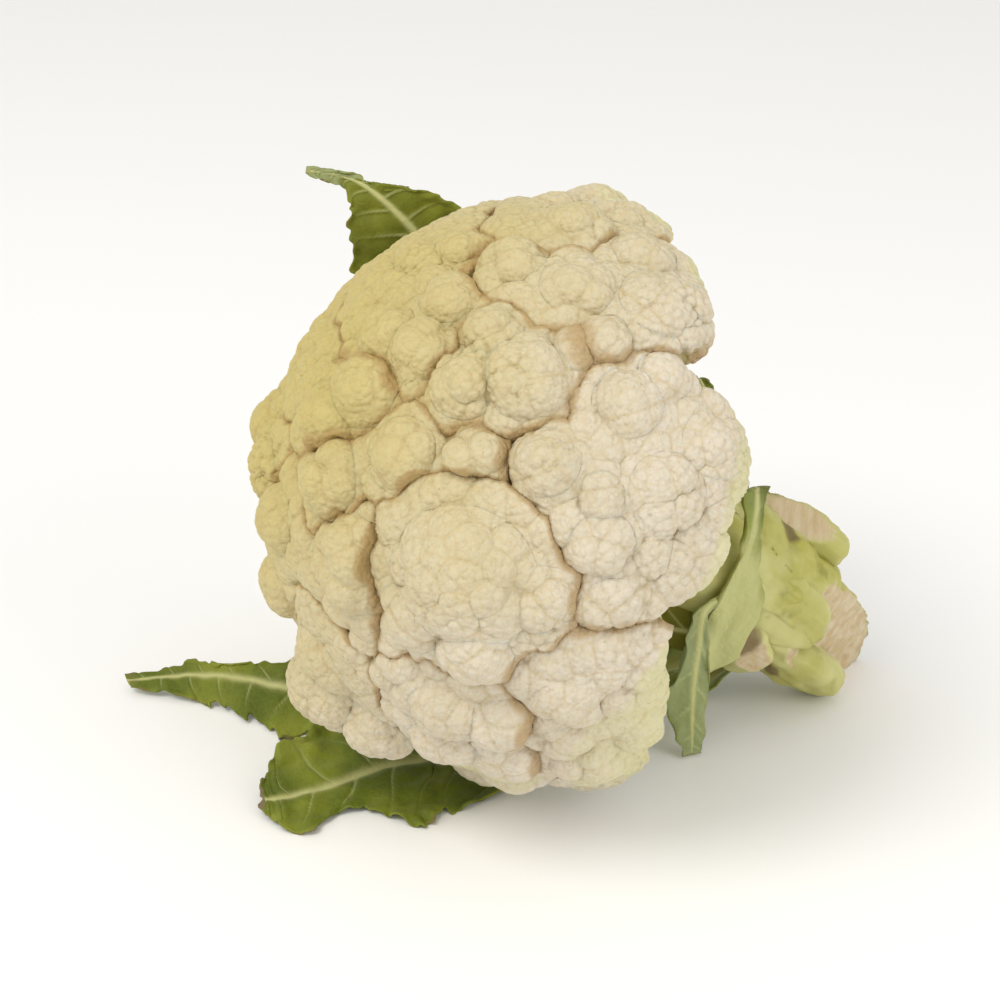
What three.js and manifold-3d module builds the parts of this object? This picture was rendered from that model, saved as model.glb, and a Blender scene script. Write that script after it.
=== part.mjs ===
// A trimmed cauliflower lying on its side: the curd is a dome of florets that spring from the head
// of a short stalk, most leaves are cut back to stumps, and the leaves that are left trail along the
// table or stand behind the head. Millimetres, +Z up, table at z = 0, origin under the middle of the
// bounding box. Every place below is measured from the middle of the curd.
import * as THREE from "three";
import { mergeVertices } from "three/addons/utils/BufferGeometryUtils.js";
import Module from "manifold-3d";

const wasm = await Module();
wasm.setup();

const GAP = 0.3; // clear space between neighbouring pieces
const CURD_HEIGHT = 87; // the middle of the curd above the table, which is also the dome's radius
const CURD_MIDDLE = new THREE.Vector3(15.9, -4.6, CURD_HEIGHT);
const TABLE = -CURD_HEIGHT;
const LEAF_BED = 2.6; // thickness of leaf that the curd lies on

// The crown of the curd faces left, to the front and up; the stalk leaves it to the right and back.
const CROWN = new THREE.Vector3(-0.69, -0.541, 0.473).normalize();
const FORK = CROWN.clone().multiplyScalar(-30); // where the branches leave the stalk
const CUT_END = new THREE.Vector3(90, 41, -71.5);
const STALK_RADIUS = 17;
const FORK_RADIUS = 15;

const UP = new THREE.Vector3(0, 0, 1);
const at = (x, y, z) => new THREE.Vector3(x, y, z);

// ---------------------------------------------------------------- solids

function solidOf(geometry) {
  const bare = new THREE.BufferGeometry();
  bare.setAttribute("position", geometry.getAttribute("position").clone());
  if (geometry.index) bare.setIndex(geometry.index.clone());
  const merged = mergeVertices(bare, 1e-4);
  return new wasm.Manifold(
    new wasm.Mesh({
      numProp: 3,
      vertProperties: new Float32Array(merged.attributes.position.array),
      triVerts: new Uint32Array(merged.index.array),
    }),
  );
}

function geometryOf(solid) {
  const mesh = solid.getMesh();
  const geometry = new THREE.BufferGeometry();
  geometry.setAttribute(
    "position",
    new THREE.BufferAttribute(mesh.vertProperties, 3),
  );
  geometry.setIndex(new THREE.BufferAttribute(mesh.triVerts, 1));
  return geometry;
}

// What is left of a solid once its neighbours are cut away: the largest piece of it.
function trimmed(solid, neighbours) {
  const cut = neighbours.reduce((left, other) => left.subtract(other), solid);
  const pieces = cut.decompose().sort((a, b) => b.volume() - a.volume());
  return pieces[0];
}

// A block with one face on the plane through a point, reaching away along the normal.
function blockBeyond(point, normal, size = 200) {
  const box = new THREE.BoxGeometry(size, size, size);
  box.translate(0, 0, size / 2);
  const turn = new THREE.Quaternion().setFromUnitVectors(
    UP,
    normal.clone().normalize(),
  );
  box.applyQuaternion(turn);
  box.translate(point.x, point.y, point.z);
  return solidOf(box);
}

// A closed skin from rings of points that all turn the same way, with a point at each end. Its
// faces are turned outwards whichever way the rings run.
function skin(start, rings, end) {
  const turns = rings[0].length;
  const points = [start, ...rings.flat(), end];
  const last = points.length - 1;
  const faces = [];
  for (let k = 0; k < turns; k++) {
    const next = (k + 1) % turns;
    faces.push(0, 1 + k, 1 + next);
    for (let ring = 0; ring + 1 < rings.length; ring++) {
      const here = 1 + ring * turns;
      const beyond = here + turns;
      faces.push(here + k, beyond + k, beyond + next);
      faces.push(here + k, beyond + next, here + next);
    }
    const tail = 1 + (rings.length - 1) * turns;
    faces.push(last, tail + next, tail + k);
  }
  let volume = 0;
  for (let f = 0; f < faces.length; f += 3) {
    const [a, b, c] = [points[faces[f]], points[faces[f + 1]], points[faces[f + 2]]];
    volume += new THREE.Vector3().crossVectors(a, b).dot(c);
  }
  if (volume < 0) faces.reverse();
  const geometry = new THREE.BufferGeometry().setFromPoints(points);
  geometry.setIndex(faces);
  return geometry;
}

// ---------------------------------------------------------------- florets

// Each floret is a branch that ends in one or more rounded heads of curd: [x, y, z, radius].
const FLORETS = {
  front: [[-21, -65, 9, 23], [-5, -76, 7, 11], [-21, -75, -9, 11], [-36, -69, -2, 11]],
  right: [[-4, -67, 38, 10], [9, -71, 31, 8], [9, -74, 20, 10], [12, -75, 5, 10],
    [27, -63, 13, 14], [33, -52, 35, 15], [15, -56, 48, 12], [24, -50, 52, 10]],
  top: [[10, 22, 69, 14], [17, 16, 66, 12], [-5, -2, 72, 12], [4, -8, 73, 14]],
  upper_right: [[28, -30, 62, 12], [22, -32, 62, 14], [4, -32, 67, 13], [10, -47, 62, 9],
    [-11, -22, 71, 12]],
  upper_middle: [[-8, -52, 53, 14], [-23, -52, 52, 11], [-17, -45, 63, 9], [4, -50, 62, 8]],
  upper_left: [[-33, -7, 62, 14], [-43, -4, 57, 12], [-27, -30, 66, 10],
    [-35, -40, 56, 11], [-43, -33, 57, 10]],
  left: [[-61, -6, 38, 12], [-49, -41, 47, 11], [-59, -38, 37, 11]],
  far_left: [[-74, 2, 18, 12], [-74, -14, 13, 11]],
  crown: [[-57, -46, 25, 12], [-38, -56, 35, 12], [-22, -66, 39, 9]],
  middle_left: [[-52, -58, 10, 11], [-53, -58, 1, 10], [-70, -30, 6, 12], [-70, -18, -19, 13]],
  lower_left: [[-57, -35, -30, 15], [-61, -30, -45, 14], [-48, -36, -52, 13]],
  bottom: [[-28, -64, -30, 12], [-13, -67, -32, 13], [-10, -42, -60, 13], [-17, -22, -67, 15]],
  bottom_right: [[1, -70, -23, 13], [14, -67, -23, 12], [8, -57, -47, 14], [11, -30, -65, 14]],
  back_top: [[-15, 36, 48, 18], [2, 46, 50, 14], [-30, 46, 44, 13]],
  back_left_top: [[-44, 42, 32, 19], [-50, 26, 38, 12], [-38, 56, 24, 14]],
  back_left: [[-60, 34, 4, 19], [-68, 18, -6, 15]],
  back_low: [[-52, 34, -30, 18], [-40, 50, -14, 14]],
  under_left: [[-52, 4, -46, 18], [-38, 16, -56, 15]],
};
const RINGS = [0.2, 0.42, 0.64, 0.86, 1.08, 1.32, 1.6, 1.95, 2.4, 2.85];
const SIDES = 12;
const SEAM = 7; // how deep the seams between heads of curd run below the dome
const BRANCH = { thick: 10, thin: 5, stop: 17.5 }; // radii along a branch, its end from the fork

function layout(heads) {
  const middle = heads
    .reduce((sum, [x, y, z]) => sum.add(at(x, y, z)), at(0, 0, 0))
    .divideScalar(heads.length);
  const out = middle.clone().sub(FORK);
  const reach = out.length();
  out.normalize();
  const heart = FORK.clone().addScaledVector(out, reach * 0.68);
  return { heads, out, reach, heart };
}

// How far round the fork a floret spreads towards another: the furthest edge of its heads.
function spread(floret, towards) {
  const edges = floret.heads.map(([x, y, z, radius]) => {
    const head = at(x, y, z).sub(FORK);
    const angle = Math.atan2(head.dot(towards), head.dot(floret.out));
    return angle + Math.asin(radius / head.length());
  });
  return Math.max(...edges);
}

// The outward normal of the plane through the fork that parts two florets, seen from the first.
function parting(one, other) {
  const towards = (from, to) =>
    to.out.clone().addScaledVector(from.out, -to.out.dot(from.out)).normalize();
  const there = towards(one, other);
  const back = towards(other, one);
  const mine = Math.max(spread(one, there), 0.08);
  const theirs = Math.max(spread(other, back), 0.08);
  const bend = (one.out.angleTo(other.out) * mine) / (mine + theirs);
  return there.multiplyScalar(Math.cos(bend)).addScaledVector(one.out, -Math.sin(bend));
}

// Where a ray from one place leaves a ball round another.
function exitOfBall(from, ray, middle, radius) {
  const to = middle.clone().sub(from);
  const along = to.dot(ray);
  const inside = along * along - to.lengthSq() + radius * radius;
  return inside > 0 ? along + Math.sqrt(inside) : 0;
}

// Distance from the heart of a floret to its skin along a ray, before neighbours cut it: its heads
// stand on a wedge of the dome that tapers to a branch.
function reachOf(floret, ray) {
  const { heads, out, heart } = floret;
  const fromFork = heart.distanceTo(FORK);
  const rise = ray.dot(out);
  const across = Math.sqrt(Math.max(1 - rise * rise, 1e-6));
  const sideways = ray.clone().addScaledVector(out, -rise).divideScalar(across);
  const flare = Math.tan(Math.min(spread(floret, sideways), 0.75) * 0.95);
  const closing = across - rise * flare;
  const dome = exitOfBall(heart, ray, at(0, 0, 0), CURD_HEIGHT - SEAM);
  let far = closing > 1e-3 ? Math.min((fromFork * flare) / closing, dome) : dome;
  if (rise < 0) {
    const length = fromFork - BRANCH.stop;
    const taper = (BRANCH.thick - BRANCH.thin) / length;
    const branch = Math.min(BRANCH.thick / (across - taper * rise), -length / rise);
    far = THREE.MathUtils.lerp(far, branch, THREE.MathUtils.smoothstep(-rise, 0, 0.85));
  }
  const reaches = heads.map(([x, y, z, radius]) => exitOfBall(heart, ray, at(x, y, z), radius));
  return [far, ...reaches].reduce((sum, t) => sum + t ** 16, 0) ** (1 / 16);
}

function floretSolid(floret, partings, grow) {
  const { out, heart } = floret;
  const side = new THREE.Vector3().crossVectors(out, UP).normalize();
  const rise = new THREE.Vector3().crossVectors(side, out);
  const fromFork = heart.clone().sub(FORK);
  const point = (lean, turn) => {
    const ray = out.clone().multiplyScalar(Math.cos(lean));
    ray.addScaledVector(side, Math.sin(lean) * Math.cos(turn));
    ray.addScaledVector(rise, Math.sin(lean) * Math.sin(turn));
    let far = reachOf(floret, ray) + grow;
    for (const normal of partings) {
      const closing = ray.dot(normal);
      const clear = -GAP / 2 + grow - fromFork.dot(normal);
      if (closing > 1e-6) far = Math.min(far, Math.max(clear, 0.5) / closing);
    }
    const bed = TABLE + LEAF_BED - grow;
    if (ray.z < 0) far = Math.min(far, (bed - heart.z) / ray.z);
    return heart.clone().addScaledVector(ray, far);
  };
  const rings = RINGS.map((lean) =>
    Array.from({ length: SIDES }, (_, k) => point(lean, (2 * Math.PI * k) / SIDES)),
  );
  return solidOf(skin(point(0, 0), rings, point(Math.PI, 0)));
}

function makeFlorets(grow) {
  const laid = Object.values(FLORETS).map(layout);
  return laid.map((floret) => {
    const others = laid.filter((o) => o !== floret && o.out.angleTo(floret.out) < 2);
    return floretSolid(floret, others.map((o) => parting(floret, o)), grow);
  });
}

// ---------------------------------------------------------------- stalk

const STALK_SIDES = 16;
const STALK_RINGS = 8;
const STALK_LINE = CUT_END.clone().sub(FORK).normalize();
const STALK_TOP = UP.clone().addScaledVector(STALK_LINE, -STALK_LINE.z).normalize();
const STALK_FRONT = new THREE.Vector3().crossVectors(STALK_LINE, STALK_TOP);

// A place on or near the stalk: distance back from its cut end, turn from its upper side towards
// the front in degrees, and distance from its middle line.
function onStalk(back, turn, out) {
  const angle = THREE.MathUtils.degToRad(turn);
  return CUT_END.clone()
    .addScaledVector(STALK_LINE, -back)
    .addScaledVector(STALK_TOP, Math.cos(angle) * out)
    .addScaledVector(STALK_FRONT, Math.sin(angle) * out);
}

function stalkSolid(grow) {
  const length = CUT_END.distanceTo(FORK);
  const spare = 12; // the loft runs past the cut end, and the knife takes that off
  const rings = [];
  for (let i = 0; i <= STALK_RINGS; i++) {
    const share = i / STALK_RINGS;
    const back = length - share * (length + spare);
    const swell = Math.sin(Math.PI * Math.min(share, 1)) * 2;
    const radius = FORK_RADIUS + (STALK_RADIUS - FORK_RADIUS) * share + swell + grow;
    rings.push(
      Array.from({ length: STALK_SIDES }, (_, k) => {
        const lump = 1 + 0.03 * Math.sin(3 * k + 2.1 * i);
        return onStalk(back, (360 * k) / STALK_SIDES, radius * lump);
      }),
    );
  }
  const crownRing = (lean) =>
    Array.from({ length: STALK_SIDES }, (_, k) =>
      onStalk(
        length + (FORK_RADIUS + grow) * Math.cos(lean),
        (360 * k) / STALK_SIDES,
        (FORK_RADIUS + grow) * Math.sin(lean),
      ),
    );
  rings.unshift(crownRing(0.5), crownRing(1.05));
  const top = onStalk(length + FORK_RADIUS + grow, 0, 0);
  return solidOf(skin(top, rings, onStalk(-spare - 1, 0, 0)));
}

// The knife's two cuts at the end of the stalk: straight across, and a shaving off the front.
const END_CUT = new THREE.Vector3(0.76, -0.62, -0.18);
const SHAVING = { back: 4, turn: 100, out: 11.5, normal: new THREE.Vector3(0.55, -0.83, 0.05) };

function knife(grow) {
  return [
    blockBeyond(onStalk(-grow, 0, 0), END_CUT),
    blockBeyond(onStalk(SHAVING.back, SHAVING.turn, SHAVING.out + grow), SHAVING.normal),
    blockBeyond(at(0, 0, TABLE - grow), at(0, 0, -1)),
  ];
}

// ---------------------------------------------------------------- leaf stumps

// What the knife left of a leaf: a short thick stub along the stalk, given by its two ends and its
// half width and half thickness.
const STUMPS = {
  stump_top: { from: [62, 2, 25], to: [17, 0, 22.5], wide: 7.5, thick: 6.5 },
  stump_front: { from: [44, 92, 19], to: [14, 80, 18], wide: 13, thick: 3.2 },
  stump_low: { from: [30, 166, 16], to: [-3, 160, 16], wide: 10, thick: 6.5 },
  stump_under: { from: [58, 140, 20], to: [32, 142, 21], wide: 10.5, thick: 6 },
  stump_back: { from: [46, 300, 19], to: [16, 290, 21], wide: 11, thick: 5 },
  stump_back_low: { from: [38, 238, 19], to: [12, 232, 20], wide: 10, thick: 5 },
};
const STUMP_RINGS = 6;
const STUMP_SIDES = 12;

function stumpSolid({ from, to, wide, thick }, grow) {
  const start = onStalk(...from);
  const end = onStalk(...to);
  const along = end.clone().sub(start);
  const length = along.length();
  along.normalize();
  const middleTurn = (from[1] + to[1]) / 2;
  const outward = onStalk(0, middleTurn, 1).sub(onStalk(0, 0, 0));
  outward.addScaledVector(along, -outward.dot(along)).normalize();
  const across = new THREE.Vector3().crossVectors(along, outward);
  const section = (share) => {
    const round = Math.sqrt(Math.max(1 - (2 * share - 1) ** 4, 0));
    return Array.from({ length: STUMP_SIDES }, (_, k) => {
      const turn = (2 * Math.PI * k) / STUMP_SIDES;
      return start
        .clone()
        .addScaledVector(along, share * length)
        .addScaledVector(outward, Math.cos(turn) * (thick * round + grow))
        .addScaledVector(across, -Math.sin(turn) * (wide * round + grow));
    });
  };
  const rings = Array.from({ length: STUMP_RINGS }, (_, i) => section((i + 0.5) / STUMP_RINGS));
  const tip = (share, past) => start.clone().addScaledVector(along, share * length + past);
  return solidOf(skin(tip(0, -grow), rings, tip(1, grow)));
}

// ---------------------------------------------------------------- leaves

// A leaf is a thin blade over three lines from its foot to its tip: the midrib, and a margin on
// each side of it.
const LEAVES = {
  leaf_front: {
    rib: [[64, 30, -68], [42, 17, -79], [12, 4, -86.2], [-16, -5, -86.2],
      [-39, -12, -85], [-60, -23, -82.5], [-78, -34, -82.5], [-84, -38, -83]],
    near: [[63, 23, -70], [44, 6, -81], [14, -22, -86.8], [-8, -30, -86.8],
      [-36, -39, -86.7], [-62, -42, -86.2], [-76, -45, -86], [-82, -42, -85]],
    far: [[67, 36, -68], [44, 25, -80], [12, 22, -86], [-18, 20, -85.5],
      [-48, 16, -81], [-76, 4, -79], [-86, -14, -81], [-87, -32, -83]],
    thick: 2.2,
  },
  leaf_left: {
    rib: [[74, 46, -66], [46, 44, -79], [5, 38, -84], [-35, 29, -83.5],
      [-70, 24, -81], [-97, 32, -80], [-115, 37, -82], [-133, 38, -84]],
    near: [[72, 40, -69], [44, 33, -82], [4, 28, -86.7], [-38, 21, -86.7],
      [-74, 8, -86.7], [-92, 16, -86.7], [-108, 28, -86.4], [-131, 35, -85]],
    far: [[78, 52, -64], [50, 56, -76], [5, 54, -80], [-38, 46, -78],
      [-72, 34, -73], [-93, 34, -75], [-114, 40, -79], [-135, 41, -83]],
    thick: 2.0,
  },
  leaf_back: {
    rib: [[61, 53, -46], [50, 70, -33], [30, 90, -8], [5, 96, 20],
      [-18, 88, 42], [-40, 76, 53], [-54, 79, 63], [-62, 81, 68], [-76, 79, 70]],
    near: [[57, 55, -51], [40, 76, -43], [10, 96, -20], [-28, 91, 5],
      [-50, 76, 25], [-61, 71, 42], [-62, 78, 60], [-64, 80, 66], [-73, 78, 67]],
    far: [[66, 50, -42], [60, 64, -23], [44, 82, 10], [26, 86, 38],
      [0, 82, 47], [-18, 77, 58], [-40, 80, 66], [-58, 82, 70], [-75, 81, 72]],
    thick: 2.0,
  },
  leaf_hanging: {
    rib: [[57, -1, -50], [51, -1, -50], [44, 0, -57], [41, 0, -72], [40, -1, -81], [39, -2, -86]],
    near: [[54, -2, -52], [45, -1, -55], [36, 0, -61], [33, 0, -71], [36, -1, -80], [37, -2, -86]],
    far: [[59, 0, -47], [55, 0, -48], [50, 0, -58], [47, 0, -73], [46, -1, -81], [44, -2, -86]],
    thick: 1.8,
  },
  leaf_side: {
    rib: [[73, 13, -56], [60, 8, -42], [54, 5, -24], [56, 7, -12], [57, 12, -3]],
    near: [[60, 6, -62], [48, 5, -42], [50, 5, -24], [52, 8, -12], [55, 12, -4]],
    far: [[80, 15, -46], [66, 11, -32], [59, 8, -20], [60, 10, -11], [59, 13, -4]],
    thick: 2.4,
  },
  leaf_inner: {
    rib: [[57, 36, -17], [54, 38, -4], [48, 36, 10], [43, 32, 21]],
    near: [[53, 31, -15], [49, 33, -3], [44, 33, 10], [41, 31, 20]],
    far: [[60, 41, -18], [57, 42, -4], [51, 39, 10], [45, 33, 21]],
    thick: 1.6,
  },
  leaf_under: {
    rib: [[56, 12, -56], [48, 9, -50], [40, 8, -48], [32, 9, -47]],
    near: [[54, 13, -62], [46, 10, -58], [39, 9, -57], [32, 9, -53]],
    far: [[56, 9, -52], [48, 8, -43], [40, 8, -39], [31, 10, -41]],
    thick: 1.8,
  },
};
const STATIONS = 12;
const ACROSS = 4;
const MARGIN = 0.9; // a blade's thickness at its margin

function leafSolid({ rib, near, far, thick }, grow) {
  const [mid, left, right] = [rib, near, far].map(
    (line) => new THREE.CatmullRomCurve3(line.map((p) => at(...p))),
  );
  const blade = (t, v) => {
    const m = mid.getPoint(t);
    const l = left.getPoint(t);
    const r = right.getPoint(t);
    const slope = r.clone().sub(l).multiplyScalar(v / 2);
    const cup = r.clone().add(l).multiplyScalar(0.5).sub(m).multiplyScalar(v * v);
    return m.add(slope).add(cup);
  };
  const step = 1e-3;
  const normalAt = (t, v) => {
    const t0 = Math.min(Math.max(t, step), 1 - step);
    const along = blade(t0 + step, v).sub(blade(t0 - step, v));
    const across = blade(t, v + step).sub(blade(t, v - step));
    return along.cross(across).normalize();
  };
  // One loop round the blade at each station: out along its upper face and back along the lower.
  const section = (t) => {
    const widen = grow / Math.max(left.getPoint(t).distanceTo(right.getPoint(t)) / 2, 1);
    const vs = Array.from({ length: ACROSS + 1 }, (_, k) => (2 * k) / ACROSS - 1);
    const face = (v, side) => {
      const half = (MARGIN + (thick - MARGIN) * (1 - v * v) ** 2) / 2 + grow;
      return blade(t, v * (1 + widen)).addScaledVector(normalAt(t, v), side * half);
    };
    return [...vs.map((v) => face(v, 1)), ...vs.reverse().map((v) => face(v, -1))];
  };
  const rings = Array.from({ length: STATIONS + 1 }, (_, i) => section(i / STATIONS));
  return solidOf(skin(blade(0, 0), rings, blade(1, 0)));
}

// ---------------------------------------------------------------- assembly

const curd = new THREE.MeshStandardMaterial({ color: 0xe0d3b4, roughness: 0.75 });
const rind = new THREE.MeshStandardMaterial({ color: 0xb9bd74, roughness: 0.55 });
const stub = new THREE.MeshStandardMaterial({ color: 0xc9c48c, roughness: 0.6 });
const blade = new THREE.MeshStandardMaterial({ color: 0x6d7d28, roughness: 0.5 });

const cauliflower = new THREE.Group();
cauliflower.position.copy(CURD_MIDDLE);

function add(name, solid, material) {
  const mesh = new THREE.Mesh(geometryOf(solid), material);
  mesh.name = name;
  cauliflower.add(mesh);
}

const table = blockBeyond(at(0, 0, TABLE), at(0, 0, -1));
const solids = makeFlorets(0);
Object.keys(FLORETS).forEach((name, i) => add("floret_" + name, solids[i], curd));
add("stalk", trimmed(stalkSolid(0), knife(0)), rind);

const taken = [...makeFlorets(GAP), trimmed(stalkSolid(GAP), knife(GAP))];
for (const [name, stump] of Object.entries(STUMPS)) {
  add(name, trimmed(stumpSolid(stump, 0), [...taken, table]), stub);
  taken.push(stumpSolid(stump, GAP));
}
for (const [name, leaf] of Object.entries(LEAVES)) {
  add(name, trimmed(leafSolid(leaf, 0), [...taken, table]), blade);
  taken.push(leafSolid(leaf, 0), leafSolid(leaf, GAP));
}

export default cauliflower;
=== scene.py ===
"""A whole cauliflower lying on its side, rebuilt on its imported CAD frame.

Lengths are worked out in millimetres and become metres as each mesh is made.
"""

import bpy
import numpy as np
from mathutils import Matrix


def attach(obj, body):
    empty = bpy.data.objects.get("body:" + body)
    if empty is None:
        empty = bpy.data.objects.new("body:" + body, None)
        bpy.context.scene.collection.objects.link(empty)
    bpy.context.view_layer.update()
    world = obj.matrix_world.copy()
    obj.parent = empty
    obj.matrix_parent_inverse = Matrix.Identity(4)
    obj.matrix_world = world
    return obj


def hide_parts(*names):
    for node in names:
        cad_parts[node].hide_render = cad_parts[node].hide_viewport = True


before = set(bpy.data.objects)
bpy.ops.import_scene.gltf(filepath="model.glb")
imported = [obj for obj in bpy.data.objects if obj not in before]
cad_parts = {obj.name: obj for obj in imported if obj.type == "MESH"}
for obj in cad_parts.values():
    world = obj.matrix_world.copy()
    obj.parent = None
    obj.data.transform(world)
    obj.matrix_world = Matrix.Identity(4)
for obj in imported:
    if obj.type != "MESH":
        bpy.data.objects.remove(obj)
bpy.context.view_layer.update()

# ---------------------------------------------------------------- camera
# The camera looks along +Y, 25 degrees down, from about two thirds of a metre. Its aim is a little
# to the left of the middle of the head, so that the leaves and the stalk are both in view.

CURD_RADIUS = 87.0  # mm, also the height of the middle of the head above the table
CURD_MIDDLE = np.array([15.9, -4.6, CURD_RADIUS])

LENS = 85.0
SENSOR = 36.0
CAMERA_TILT = np.radians(25.0)
CAMERA_AWAY = 672.9
AIM_LEFT, AIM_LOW = 15.7, 2.85  # how far the aim is from the middle of the head, in the view
look_right = np.array([1.0, 0.0, 0.0])
look_up = np.array([0.0, np.sin(CAMERA_TILT), np.cos(CAMERA_TILT)])
look_back = np.array([0.0, -np.cos(CAMERA_TILT), np.sin(CAMERA_TILT)])
aim = CURD_MIDDLE - AIM_LEFT * look_right - AIM_LOW * look_up

camera_data = bpy.data.cameras.new("camera")
camera_data.lens = LENS
camera_data.sensor_width = SENSOR
camera = bpy.data.objects.new("camera", camera_data)
camera.location = (aim + CAMERA_AWAY * look_back) / 1000
camera.rotation_euler = (np.pi / 2 - CAMERA_TILT, 0.0, 0.0)
bpy.context.scene.collection.objects.link(camera)
bpy.context.scene.camera = camera

# ---------------------------------------------------------------- florets of curd
# The head is a dome of florets. Each is a fleshy branch that leaves the top of the stalk and ends
# in rounded heads of curd, and every head is covered with lobes, and every lobe with small buds.
# The florets press against each other, so they meet along thin dark seams.

CROWN = np.array([-0.69, -0.541, 0.473])
CROWN /= np.linalg.norm(CROWN)
FORK = -30.0 * CROWN  # where the branches leave the stalk, from the middle of the head

FLORETS = {  # x, y, z and radius of each head of curd, from the middle of the dome
    "front": [(-21, -65, 9, 23), (-5, -76, 7, 11), (-21, -75, -9, 11), (-36, -69, -2, 11)],
    "right": [(-4, -67, 38, 10), (9, -71, 31, 8), (9, -74, 20, 10), (12, -75, 5, 10),
              (27, -63, 13, 14), (33, -52, 35, 15), (15, -56, 48, 12), (24, -50, 52, 10),
              (23, -62, 28, 15)],
    "top": [(10, 22, 69, 14), (17, 16, 66, 12), (-5, -2, 72, 12), (4, -8, 73, 14),
            (16, 4, 70, 14), (1, 14, 70, 13)],
    "upper_right": [(28, -30, 62, 12), (-11, -22, 71, 12), (22, -32, 62, 14), (4, -32, 67, 13),
                    (10, -47, 62, 9), (20, -16, 69, 13), (25, -12, 66, 11), (2, -22, 71, 11)],
    "upper_middle": [(-8, -52, 53, 14), (-23, -52, 52, 11), (-17, -45, 63, 9), (4, -50, 62, 8)],
    "upper_left": [(-33, -7, 62, 14), (-43, -4, 57, 12), (-27, -30, 66, 10),
                   (-24, -11, 71, 10), (-27, 6, 67, 11),
                   (-35, -40, 56, 11), (-43, -33, 57, 10)],
    "left": [(-61, -6, 38, 12), (-58, 3, 44, 10), (-49, -41, 47, 11), (-59, -38, 37, 11)],
    "far_left": [(-74, 2, 18, 12), (-74, -14, 13, 11)],
    "crown": [(-57, -46, 25, 12), (-38, -56, 35, 12), (-22, -66, 39, 9)],
    "middle_left": [(-52, -58, 10, 11), (-53, -58, 1, 10), (-70, -30, 6, 12), (-70, -18, -19, 13)],
    "lower_left": [(-57, -35, -30, 15), (-61, -30, -45, 14), (-48, -36, -52, 13)],
    "bottom": [(-28, -64, -30, 12), (-13, -67, -32, 13), (-10, -42, -60, 13), (-17, -22, -67, 15),
               (-12, -57, -47, 13), (-28, -54, -44, 13)],
    "bottom_right": [(1, -70, -23, 13), (14, -67, -23, 12), (8, -57, -47, 14), (11, -30, -65, 14),
                     (13, -58, -36, 13), (2, -63, -36, 13), (13, -70, -12, 11)],
    "back_top": [(-15, 36, 48, 18), (2, 46, 50, 14), (-30, 46, 44, 13)],
    "back_left_top": [(-44, 42, 32, 19), (-50, 26, 38, 12), (-38, 56, 24, 14)],
    "back_left": [(-60, 34, 4, 19), (-68, 18, -6, 15)],
    "back_low": [(-52, 34, -30, 18), (-40, 50, -14, 14)],
    "under_left": [(-52, 4, -46, 18), (-38, 16, -56, 15)],
}
HIDDEN = ("back_top", "back_left_top", "back_left", "back_low", "under_left")
FINE_NET, COARSE_NET, QUICK_NET = 224, 170, 150  # points along a floret's net; hidden ones coarse

SEAM_DEPTH = 6.0
EDGE_ROUND = 6.0  # how far from a seam a floret starts to turn down into it
EDGE_DROP = 4.2
EXTRA_FLARE = 0.3  # radians by which the flesh between the heads spreads past them, for most
FLARE = {"bottom_right": 0.05, "right": -0.02, "upper_right": -0.02, "top": 0.0}  # and for these
SUNK = 2.2  # the lobes and buds stand this far above a head's own ball
SEAM_GAP = -0.10  # below nought, so neighbours press a little into each other
CELL_SLOPE = 0.35  # how fast a head's score grows away from the seam
LEAF_BED = 3.0  # the leaf under the head keeps the curd this far off the table
BRANCH_THICK, BRANCH_THIN, BRANCH_STOP = 10.0, 5.0, 17.5
HEART = 0.68  # share of the way from the fork to a floret's middle at which its heart lies
LOBE_SPACING, LOBE_RISE = 6.6, 3.4
BUD_SPACING, BUD_RISE = 2.1, 1.25
WAVER_LENGTH, WAVER_HEIGHT = 12.0, 1.3  # length and height of the waves of a seam
SKY_LOOSE, SKY_CLOSE = 0.93, 0.997  # shares of the distance from the fork that the air scores
SKY_RISE = (0.50, 0.62)  # cosines from the crown between which the air's share changes
SMOOTHINGS, EVEN_SMOOTHINGS = 16, 3  # rounds of smoothing, and the first ones, which reach the curd
PULL = 0.6  # how far each round draws a point to the mean of its neighbours


def unit(vectors):
    """Each vector divided by its length."""
    lengths = np.linalg.norm(vectors, axis=-1, keepdims=True)
    return vectors / np.maximum(lengths, 1e-9)


def smoothstep(low, high, values):
    """3t^2 - 2t^3 of how far each value is from low to high, held to 0 and 1."""
    share = np.clip((values - low) / (high - low), 0.0, 1.0)
    return share * share * (3 - 2 * share)


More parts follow.
